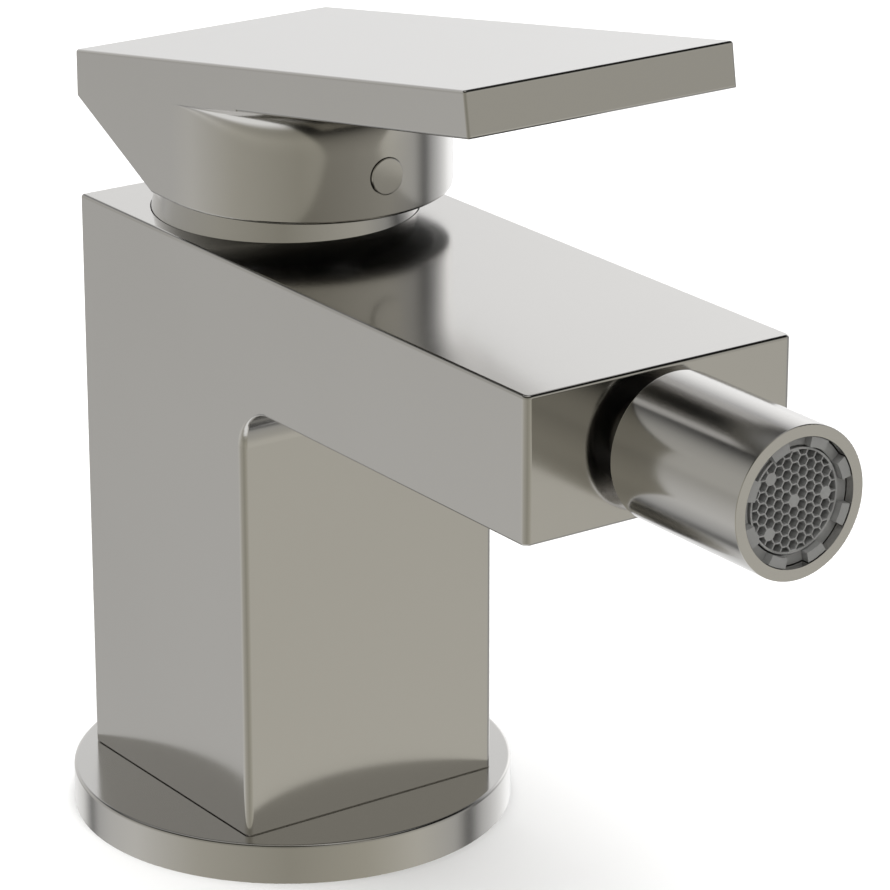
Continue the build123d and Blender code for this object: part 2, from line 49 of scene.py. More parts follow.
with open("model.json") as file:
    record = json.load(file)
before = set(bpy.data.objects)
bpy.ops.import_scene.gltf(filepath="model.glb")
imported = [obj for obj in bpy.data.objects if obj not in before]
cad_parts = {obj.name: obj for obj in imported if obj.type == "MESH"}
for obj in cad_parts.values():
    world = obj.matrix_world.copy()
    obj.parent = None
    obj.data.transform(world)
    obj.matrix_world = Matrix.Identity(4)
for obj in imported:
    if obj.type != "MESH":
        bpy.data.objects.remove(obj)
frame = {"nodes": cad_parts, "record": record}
nodes = frame["nodes"]
cad_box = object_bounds()

MM = 0.001
BLACK = (0, 0, 0)
WHITE = (1, 1, 1)

# The solids that share a finish
PLATED = ("base_ring", "body", "cartridge_cap", "index_plug", "nozzle_sleeve")
STEEL = ("pivot_pin", "stem", "lever_screw")
CERAMIC = ("fixed_disc", "moving_disc")
RUBBER = ("base_seal", "inlet_seals", "disc_gasket", "cartridge_o_ring", "fitting_o_ring", "aerator_seal")
CARTRIDGE = ("cartridge_base", "cartridge_housing", "cartridge_rotor", "disc_carriage")
SEATS = ("ball_seat", "ball_seal")
AERATOR = ("aerator_housing", "jet_plate", "inlet_screen")


# Sizes and colours that a user may change

def colour(name, default, description):
    """A setting that holds a colour."""
    return FloatVectorProperty(name=name, description=description, default=default, subtype="COLOR",
                               size=3, min=0, max=1)


def share(name, default, description, most=1.0):
    """A setting that holds a share, from 0 to 1 or to another limit."""
    return FloatProperty(name=name, description=description, default=default, min=0, max=most,
                         subtype="FACTOR")


def length(name, default, description):
    """A setting that holds a length in metres."""
    return FloatProperty(name=name, description=description, default=default, min=0, unit="LENGTH")


def angle(name, degrees, description):
    """A setting that holds an angle, given here in degrees."""
    return FloatProperty(name=name, description=description, default=math.radians(degrees),
                         subtype="ANGLE")


class MetalFinish(PropertyGroup):
    """Colours and wear of the plated and the bare metal, and a darker plate that paints the shade in the nozzle's
    gap
    """
    plate: colour("Plate", (0.62, 0.61, 0.595), "Colour of the polished plate")
    # Rougher than the polished plate, and darker as painted shade for the gap between the nozzle and the body
    # where the ball fitting shows
    plate_with_gap_shade: colour("Plate with painted gap shade", (0.26, 0.255, 0.25), "Colour of the dull plate on the ball fitting")
    plate_roughness: share("Plate roughness", 0.13, "How far the polished plate blurs what it mirrors")
    haze: share("Haze", 0.035, "How much the polish varies over the plate")
    haze_patch: length("Haze patch", 28 * MM, "Width of the broad hazy patches")
    haze_speck: length("Haze speck", 1.6 * MM, "Width of the small hazy specks")
    ripple: length("Ripple", 0.4e-6, "Height of the casting's waves left under the plate")
    wave_width: length("Wave width", 7 * MM, "Width of the casting's waves")
    hairline: length("Hairline", 0.5e-6, "Depth of the fine lines left by wiping")
    line_length: length("Line length", 18 * MM, "Length of the fine lines left by wiping")
    tool_mark: length("Tool mark", 2e-6, "Depth of the lines on turned, drawn and cut metal")
    brass: colour("Brass", (0.70, 0.53, 0.27), "Colour of bare turned brass")
    steel: colour("Steel", (0.56, 0.55, 0.53), "Colour of the drawn steel")


class LeverForm(PropertyGroup):
    """The lever's own sizes, which its smooth blend and its unplated inside, painted dark as shade, follow"""
    skirt_radius: length("Skirt radius", 19.8 * MM, "Radius of the skirt's round front")
    skirt_forward: length("Skirt forward", 3.9 * MM, "From the stud's axis to the middle of the round front")
    plate_height: length("Plate height", 101.46 * MM, "Height of the plate's underside over the stud's axis")
    plate_slope: angle("Plate slope", 9.05, "How steeply the plate rises to the front")
    blend_reach: length("Blend reach", 8 * MM, "How far below the plate the skirt begins to lean outwards")
    blend_turn: FloatProperty(name="Blend turn", default=1.0667,
                              description="How fast the skirt's wall leans outwards in the blend")
    wall: length("Wall", 2.3 * MM, "Thickness of the skirt's wall")
    # The unplated casting is rough, and its near-black colour is painted shade inside the lever's pocket and
    # under its rim
    cast: colour("Cast metal", (0.10, 0.098, 0.094), "Colour of the unplated casting inside the lever")
    cast_roughness: share("Cast roughness", 0.6, "Roughness of the unplated casting inside the lever")


class MouldedFinish(PropertyGroup):
    """Colours and grain of the plastics, the rubber and the ceramic"""
    cartridge: colour("Cartridge", (0.62, 0.62, 0.60), "Colour of the cartridge's plastic")
    seats: colour("Seats", (0.80, 0.79, 0.76), "Colour of the ball seat and ball seal")
    aerator: colour("Aerator", (0.17, 0.17, 0.166), "Colour of the aerator's housing")
    comb: colour("Comb", (0.19, 0.19, 0.186), "Colour of the aerator's honeycomb")
    grain: length("Grain", 4e-6, "Height of the mould's grain")
    grain_width: length("Grain width", 0.22 * MM, "Width of the mould's grain")
    tone_width: length("Tone width", 3 * MM, "Width of the patches in which the tone changes")
    rubber: colour("Rubber", (0.018, 0.018, 0.018), "Colour of the seals")
    ceramic: colour("Ceramic", (0.86, 0.84, 0.78), "Colour of the discs")


class ThreadSizes(PropertyGroup):
    """Sizes of the thread ridges in the foot"""
    stud_pitch: length("Stud pitch", 1.25 * MM, "Rise of the stud's thread in one turn")
    inlet_pitch: length("Inlet pitch", 1.0 * MM, "Rise of the inlets' thread in one turn")
    crest_share: share("Crest", 0.28, "How far a crest stands into the bore, as a share of the pitch")
    turn_points: IntProperty(name="Points", description="Points in one turn of a thread", default=40, min=12)


class Studio(PropertyGroup):
    """The camera, the lamps, the floor and the light that the metal mirrors"""
    azimuth: angle("Azimuth", -35.187, "Camera's turn round the mixer")
    elevation: angle("Elevation", 19.933, "Camera's height above the horizon")
    distance: length("Distance", 0.5588, "From the camera to the point it looks at")
    aim: FloatVectorProperty(name="Aim", description="Point that the camera looks at", subtype="TRANSLATION",
                             size=3, default=(0.0029, -0.0323, 0.0596), unit="LENGTH")
    lens: FloatProperty(name="Lens", description="Focal length on the sensor", subtype="DISTANCE_CAMERA",
                        default=176.25)
    sensor: FloatProperty(name="Sensor", description="Width of the camera's sensor", subtype="DISTANCE_CAMERA",
                          default=36)
    floor: colour("Floor", (0.86, 0.86, 0.86), "Colour of the floor")
    floor_reach: length("Floor reach", 12.0, "Radius of the floor")
    glow_start: length("Glow start", 0.35, "From there outwards the floor begins to pass into a white backdrop")
    glow_full: length("Glow full", 1.0, "From there outwards the floor is a white backdrop")
    ground: colour("Mirrored ground", (1.0, 1.0, 0.99), "Light that the metal mirrors from right below")
    top_light: FloatProperty(name="Top light", description="Power of the lamp overhead", default=72,
                             unit="POWER")
    front_light: FloatProperty(name="Front light", description="Power of the lamp beside the camera",
                               default=12, unit="POWER")
    walls: share("Walls", 1.0, "Brightness of the studio's pale back wall", 2.0)


# Node helpers

def join(tree, source, socket):
    """Feeds a socket from another node's output, or sets it to a plain number, vector or colour."""
    if isinstance(source, NodeSocket):
        tree.links.new(source, socket)
    else:
        socket.default_value = source


def add(tree, kind, **settings):
    """A node with its settings; a name with an underscore in front feeds an input socket."""
    made = tree.nodes.new(kind)
    for key, value in settings.items():
        if key.startswith("_"):
            join(tree, value, made.inputs[key[1:].replace("_", " ")])
        else:
            setattr(made, key, value)
    return made


def calc(tree, operation, *values):
    """A Math node on plain numbers and other nodes' outputs."""
    made = add(tree, "ShaderNodeMath", operation=operation)
    for value, socket in zip(values, made.inputs):
        join(tree, value, socket)
    return made.outputs["Value"]


def all_of(tree, first, *others):
    """1 where every one of some masks is 1."""
    for other in others:
        first = calc(tree, "MULTIPLY", first, other)
    return first


def mix(tree, kind, factor, a, b, blend_type="MIX"):
    """Goes from a to b by a factor; the kind is RGBA for colours and VECTOR for vectors."""
    made = add(tree, "ShaderNodeMix", data_type=kind, blend_type=blend_type)
    sockets = {socket.identifier: socket for socket in (*made.inputs, *made.outputs)}
    ending = {"RGBA": "_Color", "VECTOR": "_Vector"}[kind]
    join(tree, factor, sockets["Factor_Float"])
    join(tree, a, sockets["A" + ending])
    join(tree, b, sockets["B" + ending])
    return sockets["Result" + ending]


def spread(tree, value, low, high):
    """Stretches the part of a value between low and high over 0 to 1."""
    return add(tree, "ShaderNodeMapRange", _Value=value, _From_Min=low, _From_Max=high).outputs["Result"]


def axes(tree, vector):
    """The three parts of a vector."""
    parts = add(tree, "ShaderNodeSeparateXYZ", _Vector=vector).outputs
    return parts["X"], parts["Y"], parts["Z"]


def object_place(tree):
    """The point on the piece, in its own coordinates."""
    return add(tree, "ShaderNodeTexCoord").outputs["Object"]


def noise(tree, place, width, detail):
    """Noise whose patches are about width metres across."""
    scale = calc(tree, "DIVIDE", 1.0, width) if isinstance(width, NodeSocket) else 1 / width
    return add(tree, "ShaderNodeTexNoise", _Vector=place, _Scale=scale, _Detail=detail).outputs["Fac"]


def group(name, inputs, outputs):
    """An empty shader node group, its inputs and its outputs; outputs gives the kind of each."""
    tree = bpy.data.node_groups.new(name, "ShaderNodeTree")
    for label in inputs:
        tree.interface.new_socket(name=label, in_out="INPUT", socket_type="NodeSocketFloat")
    for label, kind in outputs.items():
        tree.interface.new_socket(name=label, in_out="OUTPUT", socket_type="NodeSocket" + kind)
    return tree, add(tree, "NodeGroupInput").outputs, add(tree, "NodeGroupOutput").inputs


# Shared effects

LINE_TURNS = (0.35, -1.1)       # the two ways of the wiping lines, in radians
LINE_STRETCH = (1, 60, 14)      # how much finer the lines are across than along


def polish_group():
    """Soft patches where a polished face is a little hazier, and the waves of the casting below."""
    tree, size, end = group("Polish", ("Patch", "Speck", "Wave"), {"Haze": "Float", "Waves": "Float"})
    place = object_place(tree)
    patches = spread(tree, noise(tree, place, size["Patch"], detail=1.0), low=0.35, high=0.65)
    specks = spread(tree, noise(tree, place, size["Speck"], detail=3.0), low=0.4, high=0.7)
    speck_share = 0.35
    join(tree, calc(tree, "MULTIPLY_ADD", specks, speck_share, patches), end["Haze"])
    join(tree, noise(tree, place, size["Wave"], detail=1.0), end["Waves"])
    return tree


def hairline_group():
    """Fine lines left by a cloth, in two directions."""
    tree, size, end = group("Hairlines", ("Length",), {"Lines": "Float"})
    place = object_place(tree)
    total = 0.0
    for turn in LINE_TURNS:
        lay = add(tree, "ShaderNodeMapping", _Vector=place, _Rotation=(turn, turn / 2, turn), _Scale=LINE_STRETCH)
        lines = spread(tree, noise(tree, lay.outputs["Vector"], size["Length"], detail=2.0), low=0.62, high=0.72)
        total = calc(tree, "ADD", lines, total)
    join(tree, total, end["Lines"])
    return tree


def grain_group():
    """The fine grain of a moulded piece and its slow change of tone."""
    tree, size, end = group("Moulded grain", ("Grain width", "Tone width"), {"Grain": "Float", "Tone": "Float"})
    place = object_place(tree)
    join(tree, noise(tree, place, size["Grain width"], detail=2.0), end["Grain"])
    tone = noise(tree, place, size["Tone width"], detail=3.0)
    join(tree, spread(tree, tone, low=0.3, high=0.7), end["Tone"])
    return tree


# Limits of the lever's smooth blend and of its unplated inside, whose near-black colour is painted shade. "Below"
# counts down from the plate's underside, "beside" outwards from the skirt's wall, and "ahead" is under 0 in front
# of the middle of the skirt's round front.
BLEND_BELOW = (0.03 * MM, 9 * MM)
BLEND_BESIDE = -0.06 * MM
BLEND_AHEAD = -0.02 * MM
BLEND_SIDE_POWER = 6.0          # the higher, the later the blend shrinks towards the plate's sides
BLEND_FRONT_SHARE = 1.01        # share of the blend's reach at the very front; over 1 keeps it above 0
BLEND_CORNER_SHARE = 0.6        # width of the turn from wall to plate, as a share of the reach
INSIDE_BELOW = -0.3 * MM
INSIDE_BACK = 9.2 * MM          # y of the pocket's back wall
RIM_TOP = 92 * MM               # the rim's underside is below this height
RIM_FACING = -0.9               # and faces down at least this much
RIM_BESIDE = -0.5 * MM


def lever_spot(tree, size, place):
    """Where a point is on the lever: its place, and its distances ahead, out, beside and below."""
    x, y, z = axes(tree, place)
    ahead = calc(tree, "MINIMUM", calc(tree, "ADD", y, size["Forward"]), 0.0)
    out = calc(tree, "SQRT", calc(tree, "ADD", calc(tree, "POWER", x, 2.0), calc(tree, "POWER", ahead, 2.0)))
    beside = calc(tree, "SUBTRACT", out, size["Radius"])
    rise = calc(tree, "MULTIPLY", y, calc(tree, "TANGENT", size["Slope"]))
    below = calc(tree, "SUBTRACT", calc(tree, "SUBTRACT", size["Height"], rise), z)
    return SimpleNamespace(x=x, y=y, z=z, ahead=ahead, out=out, beside=beside, below=below)


def lean_share(tree, distance, reach):
    """Rises from 0 at the blend's reach to 1 at distance 0, with no kink where it starts."""
    left = calc(tree, "SUBTRACT", 1.0, calc(tree, "DIVIDE", distance, reach))
    return calc(tree, "POWER", calc(tree, "MAXIMUM", left, 0.0), 2.0)


def blend_angle(tree, size, spot):
    """How far the surface leans outwards, from 0 on the skirt's wall to a right angle on the plate."""
    aside = calc(tree, "POWER", calc(tree, "DIVIDE", calc(tree, "ABSOLUTE", spot.x), spot.out), BLEND_SIDE_POWER)
    reach = calc(tree, "MULTIPLY", size["Reach"], calc(tree, "SUBTRACT", BLEND_FRONT_SHARE, aside))
    lean = calc(tree, "MULTIPLY", lean_share(tree, spot.below, reach), size["Turn"])
    settle = calc(tree, "MULTIPLY", lean_share(tree, spot.beside, reach), size["Turn"])
    level = calc(tree, "SUBTRACT", math.pi / 2, settle)
    corner = calc(tree, "DIVIDE", calc(tree, "SUBTRACT", spot.beside, spot.below),
                  calc(tree, "MULTIPLY", reach, BLEND_CORNER_SHARE))
    on_plate = add(tree, "ShaderNodeClamp", _Value=calc(tree, "ADD", corner, 0.5)).outputs["Result"]
    return calc(tree, "ADD", lean, calc(tree, "MULTIPLY", on_plate, calc(tree, "SUBTRACT", level, lean)))


def blend_normal(tree, size, spot):
    """The smooth blend's normal in the world: outwards by the lean's cosine, down from the plate by its sine."""
    leaning = blend_angle(tree, size, spot)
    outwards = calc(tree, "DIVIDE", calc(tree, "COSINE", leaning), spot.out)
    fall = calc(tree, "SINE", leaning)
    down_y = calc(tree, "MULTIPLY", fall, calc(tree, "SINE", size["Slope"]))
    down_z = calc(tree, "MULTIPLY", fall, calc(tree, "COSINE", size["Slope"]))
    normal = add(tree, "ShaderNodeCombineXYZ", _X=calc(tree, "MULTIPLY", spot.x, outwards),
                 _Y=calc(tree, "SUBTRACT", calc(tree, "MULTIPLY", spot.ahead, outwards), down_y),
                 _Z=calc(tree, "MULTIPLY", down_z, -1.0))
    return add(tree, "ShaderNodeVectorTransform", vector_type="NORMAL", convert_from="OBJECT",
               convert_to="WORLD", _Vector=normal.outputs["Vector"]).outputs["Vector"]


def lever_group():
    """The smooth lean of the lever's skirt into its plate, and where the casting is left unplated and painted
    dark as shade.
    """
    tree, size, end = group("Lever form", ("Radius", "Forward", "Height", "Slope", "Reach", "Turn", "Wall"),
                            {"Normal": "Vector", "Cast": "Float"})
    place = add(tree, "ShaderNodeTexCoord").outputs
    spot = lever_spot(tree, size, place["Object"])
    low, high = BLEND_BELOW
    in_blend = all_of(tree, calc(tree, "GREATER_THAN", spot.below, low),
                      calc(tree, "LESS_THAN", spot.below, high),
                      calc(tree, "GREATER_THAN", spot.beside, BLEND_BESIDE),
                      calc(tree, "LESS_THAN", spot.ahead, BLEND_AHEAD))
    solid = add(tree, "ShaderNodeNewGeometry").outputs["Normal"]
    join(tree, mix(tree, "VECTOR", in_blend, solid, blend_normal(tree, size, spot)), end["Normal"])
    # Mask of the pocket inside the skirt and of the rim's underside: rough unplated casting with a near-black
    # painted shade
    inside = all_of(tree, calc(tree, "GREATER_THAN", spot.below, INSIDE_BELOW),
                    calc(tree, "LESS_THAN", spot.beside, calc(tree, "MULTIPLY", size["Wall"], -1.0)),
                    calc(tree, "LESS_THAN", spot.y, INSIDE_BACK))
    facing = axes(tree, place["Normal"])[2]
    rim = all_of(tree, calc(tree, "LESS_THAN", facing, RIM_FACING), calc(tree, "LESS_THAN", spot.z, RIM_TOP),
                 calc(tree, "LESS_THAN", spot.beside, RIM_BESIDE))
    join(tree, calc(tree, "MAXIMUM", inside, rim), end["Cast"])
    return tree


def effect(tree, kind, sizes):
    """A use of one of the shared effects, which is built once, with this material's own sizes."""
    builders = {"Polish": polish_group, "Hairlines": hairline_group, "Moulded grain": grain_group,
                "Lever form": lever_group}
    used = add(tree, "ShaderNodeGroup", node_tree=bpy.data.node_groups.get(kind) or builders[kind]())
    for label, value in sizes.items():
        used.inputs[label].default_value = value
    return used.outputs


# Materials

def material(name):
    """A new material, its nodes and its Principled shader."""
    made = bpy.data.materials.new(name)
    made.use_nodes = True
    tree = made.node_tree
    tree.nodes.clear()
    surface = add(tree, "ShaderNodeBsdfPrincipled")
    add(tree, "ShaderNodeOutputMaterial", _Surface=surface.outputs["BSDF"])
    return made, tree, surface


def vary_colour(tree, surface, mask, base, other, other_share):
    """Base Color goes from base towards other, by a share of the way, where the mask is high."""
    towards = (b + (o - b) * other_share for b, o in zip(base, other))
    join(tree, mix(tree, "RGBA", mask, (*base, 1), (*towards, 1)), surface.inputs["Base Color"])


def vary_roughness(tree, surface, mask, low, high):
    """Roughness goes from low to high with the mask."""
    made = add(tree, "ShaderNodeMapRange", _Value=mask, _To_Min=low, _To_Max=high)
    join(tree, made.outputs["Result"], surface.inputs["Roughness"])


def relief(tree, surface, height, depth, before=None):
    """Adds a bump of the given depth in metres, over an earlier normal where there is one."""
    made = add(tree, "ShaderNodeBump", _Distance=depth, _Strength=1.0, _Height=height)
    if before:
        join(tree, before, made.inputs["Normal"])
    join(tree, made.outputs["Normal"], surface.inputs["Normal"])
    return made.outputs["Normal"]


def leave_unplated_with_painted_shade(tree, surface, form):
    """Makes the lever's inside rough unplated casting with a near-black colour that is painted shade, and returns
    the normal of the lever's smooth blend.
    """
    lever = effect(tree, "Lever form", {
        "Radius": form.skirt_radius, "Forward": form.skirt_forward, "Height": form.plate_height,
        "Slope": form.plate_slope, "Reach": form.blend_reach, "Turn": form.blend_turn, "Wall": form.wall})
    polished = surface.inputs["Roughness"].links[0].from_socket
    dull = calc(tree, "MULTIPLY", lever["Cast"], form.cast_roughness)
    join(tree, calc(tree, "MAXIMUM", polished, dull), surface.inputs["Roughness"])
    # Near-black casting colour: painted shade inside the lever and under its rim
    plated = surface.inputs["Base Color"].links[0].from_socket
    join(tree, mix(tree, "RGBA", lever["Cast"], plated, (*form.cast, 1)), surface.inputs["Base Color"])
    return lever["Normal"]


def metal(name, look, base, roughness, haze, line_depth, form=None):
    """Polished or turned metal with hazy patches, waves and fine lines; form is the lever's, on the lever."""
    made, tree, surface = material(name)
    surface.inputs["Metallic"].default_value = 1
    polish = effect(tree, "Polish", {"Patch": look.haze_patch, "Speck": look.haze_speck, "Wave": look.wave_width})
    lines = effect(tree, "Hairlines", {"Length": look.line_length})["Lines"]
    line_share = 0.3
    wear = calc(tree, "MULTIPLY_ADD", lines, line_share, polish["Haze"])
    vary_roughness(tree, surface, wear, roughness, roughness + haze)
    vary_colour(tree, surface, polish["Haze"], base, WHITE, haze)
    blended = leave_unplated_with_painted_shade(tree, surface, form) if form else None
    waved = relief(tree, surface, polish["Waves"], look.ripple, blended)
    relief(tree, surface, lines, line_depth, waved)
    return made


def moulded(name, look, base, roughness, grain):
    """Moulded plastic, rubber or fired ceramic, with its grain's height in metres."""
    made, tree, surface = material(name)
    cover = effect(tree, "Moulded grain", {"Grain width": look.grain_width, "Tone width": look.tone_width})
    change = 0.12
    vary_roughness(tree, surface, cover["Tone"], roughness, roughness + change)
    vary_colour(tree, surface, cover["Tone"], base, BLACK, change)
    relief(tree, surface, cover["Grain"], grain)
    return made


def dress(names, finish):
    """Puts one material on some solids."""
    for name in names:
        slots = nodes[name].data.materials
        slots.clear()
        slots.append(finish)


# Pieces

def new_object(name, mesh):
    """Makes an object of a bmesh, frees the bmesh and puts the object in the scene."""
    data = bpy.data.meshes.new(name)
    mesh.to_mesh(data)
    mesh.free()
    made = bpy.data.objects.new(name, data)
    bpy.context.scene.collection.objects.link(made)
    return made


def thread_ridge(name, mouth, radius, depth, pitch, crest, points):
    """The ridge of an inside thread: a three-sided strip wound up a hole from its mouth, tapered at both ends."""
    foot_share = 0.44           # half the width of the ridge's foot, as a share of the pitch
    mesh = bmesh.new()
    steps = int(points * (depth / pitch - 1))
    rings = []
    for step in range(steps + 1):
        turn = 2 * math.pi * step / points
        middle = pitch * (step / points + 0.5)
        taper = min(1, step / points, (steps - step) / points)
        ring = ((radius, middle - foot_share * pitch), (radius - crest * taper, middle),
                (radius, middle + foot_share * pitch))
        rings.append([mesh.verts.new((mouth.x + r * math.cos(turn), mouth.y + r * math.sin(turn), mouth.z + z))
                      for r, z in ring])
    for low, high in zip(rings, rings[1:]):
        for a, b in ((0, 1), (1, 2), (2, 0)):
            mesh.faces.new((low[a], high[a], high[b], low[b]))
    mesh.faces.new(rings[0])
    mesh.faces.new(rings[-1][::-1])
    bmesh.ops.recalc_face_normals(mesh, faces=mesh.faces)
    return new_object(name, mesh)


class MIXER_OT_plated_metal(Operator):
    """Polished nickel on the body, ring, collar, plug and sleeve, and on the ball fitting a rougher nickel
    darkened as painted shade for the gap behind the nozzle
    """
    bl_idname = "mixer.plated_metal"
    bl_label = "Plated metal"

    def execute(self, context):
        look = context.scene.mixer_metal
        dress(PLATED, metal("Polished nickel", look, look.plate, roughness=look.plate_roughness,
                            haze=look.haze, line_depth=look.hairline))
        # The ball fitting's nickel is rougher, and darkened as painted shade for the gap behind the nozzle
        dress(("ball_fitting",), metal("Dull nickel", look, look.plate_with_gap_shade, roughness=0.3, haze=look.haze,
                                       line_depth=look.hairline))
        return {"FINISHED"}


class MIXER_OT_lever_metal(Operator):
    """Polished nickel on the lever, with its smooth blend and its dull inside, which is painted dark as shade"""
    bl_idname = "mixer.lever_metal"
    bl_label = "Lever metal"

    def execute(self, context):
        look = context.scene.mixer_metal
        dress(("lever",), metal("Lever nickel", look, look.plate, roughness=look.plate_roughness,
                                haze=look.haze, line_depth=look.hairline, form=context.scene.mixer_lever))
        return {"FINISHED"}


class MIXER_OT_bare_metal(Operator):
    """Turned brass on the cartridge nut and drawn steel on the stem, pin and screw"""
    bl_idname = "mixer.bare_metal"
    bl_label = "Bare metal"

    def execute(self, context):
        look = context.scene.mixer_metal
        dress(("cartridge_nut",), metal("Turned brass", look, look.brass, roughness=0.24, haze=0.12,
                                        line_depth=look.tool_mark))
        dress(STEEL, metal("Drawn steel", look, look.steel, roughness=0.26, haze=0.12,
                           line_depth=look.tool_mark))
        return {"FINISHED"}


class MIXER_OT_cartridge(Operator):
    """Plastic on the cartridge and fired ceramic on its discs"""
    bl_idname = "mixer.cartridge"
    bl_label = "Cartridge"

    def execute(self, context):
        look = context.scene.mixer_moulded
        dress(CARTRIDGE, moulded("Cartridge plastic", look, look.cartridge, roughness=0.42, grain=look.grain))
        dress(CERAMIC, moulded("Fired ceramic", look, look.ceramic, roughness=0.16, grain=look.grain / 8))
        return {"FINISHED"}


class MIXER_OT_nozzle_inside(Operator):
    """Plastic on the ball's seat and seal and on the aerator"""
    bl_idname = "mixer.nozzle_inside"
    bl_label = "Nozzle inside"

    def execute(self, context):
        look = context.scene.mixer_moulded
        dress(SEATS, moulded("Joint plastic", look, look.seats, roughness=0.34, grain=look.grain))
        dress(AERATOR, moulded("Aerator plastic", look, look.aerator, roughness=0.32, grain=look.grain / 2))
        dress(("aerator_comb",), moulded("Comb plastic", look, look.comb, roughness=0.38, grain=look.grain / 4))
        return {"FINISHED"}


class MIXER_OT_seals(Operator):
    """Black rubber on every seal"""
    bl_idname = "mixer.seals"
    bl_label = "Seals"

    def execute(self, context):
        look = context.scene.mixer_moulded
        dress(RUBBER, moulded("Black rubber", look, look.rubber, roughness=0.55, grain=look.grain))
        return {"FINISHED"}


class MIXER_OT_threads(Operator):
    """Thread ridges in the stud's and the inlets' holes in the foot"""
    bl_idname = "mixer.threads"
    bl_label = "Threads"

    def execute(self, context):
        sizes = context.scene.mixer_threads
        look = context.scene.mixer_metal
        bare = metal("Cut thread", look, look.brass, roughness=0.2, haze=0.1, line_depth=look.tool_mark)
        for mount in frame["record"]["mounts"]:
            if mount["kind"] != "threaded_hole":
                continue
            pitch = sizes.stud_pitch if mount["name"] == "stud" else sizes.inlet_pitch
            ridge = thread_ridge(mount["name"] + "_thread", Vector(mount["pos_m"]), mount["dims"]["r_mm"] * MM,
                                 mount["dims"]["length_mm"] * MM, pitch, pitch * sizes.crest_share,
                                 sizes.turn_points)
            ridge.data.materials.append(bare)
            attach(ridge, "mixer_body")
        return {"FINISHED"}


# Studio

# Each lamp: its name, the setting with its power, its width and distance in metres, and its azimuth and
# elevation in degrees
LAMPS = (("Top lamp", "top_light", 2.4, 2.0, 0, 90), ("Front lamp", "front_light", 1.2, 1.5, -20, 35))

# The light that the metal mirrors. A row of the walls has the azimuth in degrees, 0 in front of the spout and
# rising towards +X, then the brightness and how warm it is. A row of a ceiling has the elevation in degrees,
# from right below to right above, and the share of the wall's brightness that is left there.
LOWER_WALLS = ((-180, 0.88, 0.1), (-173, 0.60, 0.1), (-166, 0.12, 0.1), (-158, 0.50, 0.1), (-145, 0.63, 0.2),
               (-125, 0.70, 0.3), (-84, 0.48, 0.8), (-35, 0.36, 1.0), (5, 0.45, 1.0), (35, 0.59, 0.7),
               (62, 0.50, 0.3), (73, 0.11, 0.2), (84, 0.58, 0.1), (122, 1.20, 0.0), (155, 1.00, 0.0),
               (180, 0.88, 0.1))
UPPER_WALLS = ((-180, 0.80, 0.1), (-145, 0.48, 0.4), (-90, 0.40, 0.8), (-35, 0.30, 1.0), (35, 0.48, 0.7),
               (60, 0.40, 0.3), (75, 0.13, 0.1), (88, 0.48, 0.0), (115, 1.60, 0.0), (145, 1.04, 0.0),
               (180, 0.80, 0.1))
BELOW = ((-90, 0.75), (-40, 0.80), (-28, 1.00), (-13, 0.94), (-4, 0.87), (0, 0.88), (5, 1.00), (19, 0.96))
FRONT_CEILING = BELOW + ((27, 0.79), (33, 0.48), (38, 0.14), (41, 0.01), (55, 0.01), (64, 0.50), (90, 0.66))
BACK_CEILING = BELOW + ((27, 0.79), (32, 0.50), (36, 0.15), (38, 0.01), (40.5, 0.01), (47, 0.45), (90, 0.66))
WARM_RED, WARM_BLUE = 0.045, 0.16       # what a wall of warmth 1 has more of red and less of blue
# Where one thing passes into the next, by the mirrored direction's x and z and by its turn from the front
LOWER_TO_UPPER_Z = (-0.45, 0.0)
FRONT_TO_BACK_TURN = (0.37, 0.40)
TO_GROUND_Z = (-0.74, -0.87)
TO_GROUND_X = (0.3, 0.0)


def away(aim, distance, azimuth, elevation):
    """The point at a distance from the aim, in the direction of two angles in radians."""
    level = math.cos(elevation)
    return aim + distance * Vector((math.sin(azimuth) * level, -math.cos(azimuth) * level, math.sin(elevation)))


def lamp(name, power, width, place, aim):
    """A soft square lamp that faces the mixer and isn't mirrored in it."""
    data = bpy.data.lights.new(name, "AREA")
    data.shape = "SQUARE"
    data.size = width
    data.energy = power
    made = bpy.data.objects.new(name, data)
    bpy.context.scene.collection.objects.link(made)
    made.location = place
    made.rotation_euler = (aim - place).to_track_quat("-Z", "Y").to_euler()
    made.visible_glossy = False
    made.visible_camera = False


def floor_piece(look):
    """A pale round floor that takes the mixer's shadow and passes into a white backdrop further out."""
    mesh = bmesh.new()
    bmesh.ops.create_circle(mesh, cap_ends=True, segments=96, radius=look.floor_reach)
    made = new_object("studio_floor", mesh)
    lowest = cad_box[0][2]
    made.location.z = lowest
    finish, tree, surface = material("Pale floor")
    surface.inputs["Specular IOR Level"].default_value = 0.0
    place = object_place(tree)
    vary_colour(tree, surface, noise(tree, place, width=0.4, detail=1.0), look.floor, BLACK, other_share=0.02)
    vary_roughness(tree, surface, noise(tree, place, width=0.02, detail=2.0), low=0.85, high=0.95)
    distance = add(tree, "ShaderNodeVectorMath", operation="LENGTH", _Vector=place).outputs["Value"]
    path = add(tree, "ShaderNodeLightPath").outputs
    seen = calc(tree, "MAXIMUM", path["Is Camera Ray"],
                calc(tree, "MAXIMUM", path["Is Glossy Ray"], path["Is Transmission Ray"]))
    white = calc(tree, "MULTIPLY", seen, spread(tree, distance, look.glow_start, look.glow_full))
    glow = add(tree, "ShaderNodeCombineColor", _Red=white, _Green=white, _Blue=white)
    join(tree, glow.outputs["Color"], surface.inputs["Emission Color"])
    surface.inputs["Emission Strength"].default_value = 1.0
    made.data.materials.append(finish)
    made.visible_glossy = False


